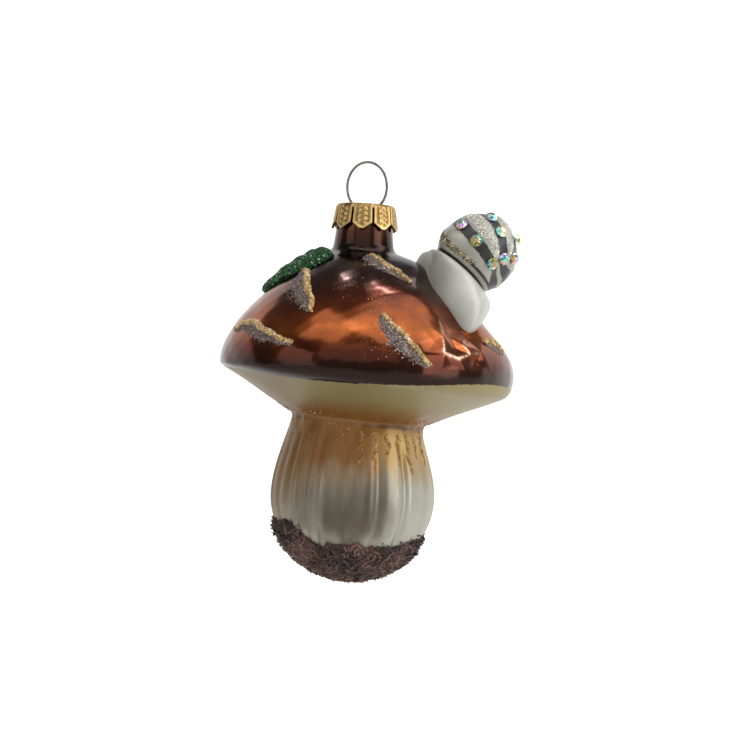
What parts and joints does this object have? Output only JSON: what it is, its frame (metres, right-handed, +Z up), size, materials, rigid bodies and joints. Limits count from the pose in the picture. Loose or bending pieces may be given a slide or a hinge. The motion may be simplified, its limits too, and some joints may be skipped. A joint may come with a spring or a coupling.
{
  "type": "mushroom christmas ornament",
  "caption": "Hanging blown-glass mushroom ornament with a snail on its cap, glittered cracks, a soil-flake foot, a metal crown over the neck and a sprung wire loop.",
  "frame": {"origin": "hanging point inside the top of the wire loop", "axes": "+Z up along the neck and the stem, -Y towards the front of the picture, +X to its right, where the snail sits"},
  "size_m": [0.0699, 0.0701, 0.1003],
  "materials": {
    "lacquered_glass": "silvered inside and lacquered: brown and copper gloss on the cap, cream to amber satin below",
    "stamped_brass": "stamped gold-coloured sheet with embossed dots",
    "spring_steel": "dark drawn spring wire",
    "pearl_grey": "pearl grey satin paint",
    "striped_grey": "grey paint with black stripes and silver glitter",
    "crystal": "foil-backed faceted crystal with an iridescent coat",
    "green_glitter": "green glitter set in glue",
    "grey_glitter": "grey glitter set in glue",
    "gold_glitter": "gold glitter set in glue",
    "soil": "brown flakes set in glue"
  },
  "bodies": {
    "glass": {"mushroom_glass": "lacquered_glass", "snail_body": "pearl_grey", "snail_shell": "striped_grey", "leaf": "green_glitter", "soil_crust": "soil", "crack_01": "grey_glitter", "crack_02": "grey_glitter", "crack_03": "grey_glitter", "crack_04": "grey_glitter", "crack_05": "grey_glitter", "crack_06": "grey_glitter", "crack_07": "grey_glitter", "crack_08": "grey_glitter", "crack_09": "grey_glitter", "gold_edge_01": "gold_glitter", "gold_edge_02": "gold_glitter", "gold_edge_03": "gold_glitter", "gold_edge_04": "gold_glitter", "gold_edge_05": "gold_glitter", "gold_edge_06": "gold_glitter", "gold_edge_07": "gold_glitter", "gold_edge_08": "gold_glitter", "gold_edge_09": "gold_glitter", "rhinestone_01": "crystal", "rhinestone_02": "crystal", "rhinestone_03": "crystal", "rhinestone_04": "crystal", "rhinestone_05": "crystal", "rhinestone_06": "crystal", "rhinestone_07": "crystal", "rhinestone_08": "crystal", "rhinestone_09": "crystal", "rhinestone_10": "crystal", "rhinestone_11": "crystal", "rhinestone_12": "crystal", "gold_run_01": "gold_glitter", "gold_run_02": "gold_glitter", "gold_run_03": "gold_glitter", "gold_run_04": "gold_glitter", "gold_run_05": "gold_glitter", "gold_run_06": "gold_glitter", "gold_run_07": "gold_glitter", "gold_run_08": "gold_glitter", "gold_run_09": "gold_glitter", "gold_run_10": "gold_glitter", "gold_run_11": "gold_glitter", "gold_run_12": "gold_glitter"},
    "crown": {"crown": "stamped_brass"},
    "hanger": {"hanger_wire": "spring_steel"}
  },
  "joints": [
    {"name": "crown_lift", "type": "slide", "parent": "glass", "child": "crown", "axis": [0, 0, 1], "range_m": [0, 0.018]},
    {"name": "hanger_rise", "type": "slide", "parent": "crown", "child": "hanger", "axis": [0, 0, 1], "range_m": [0, 0.003]}
  ]
}
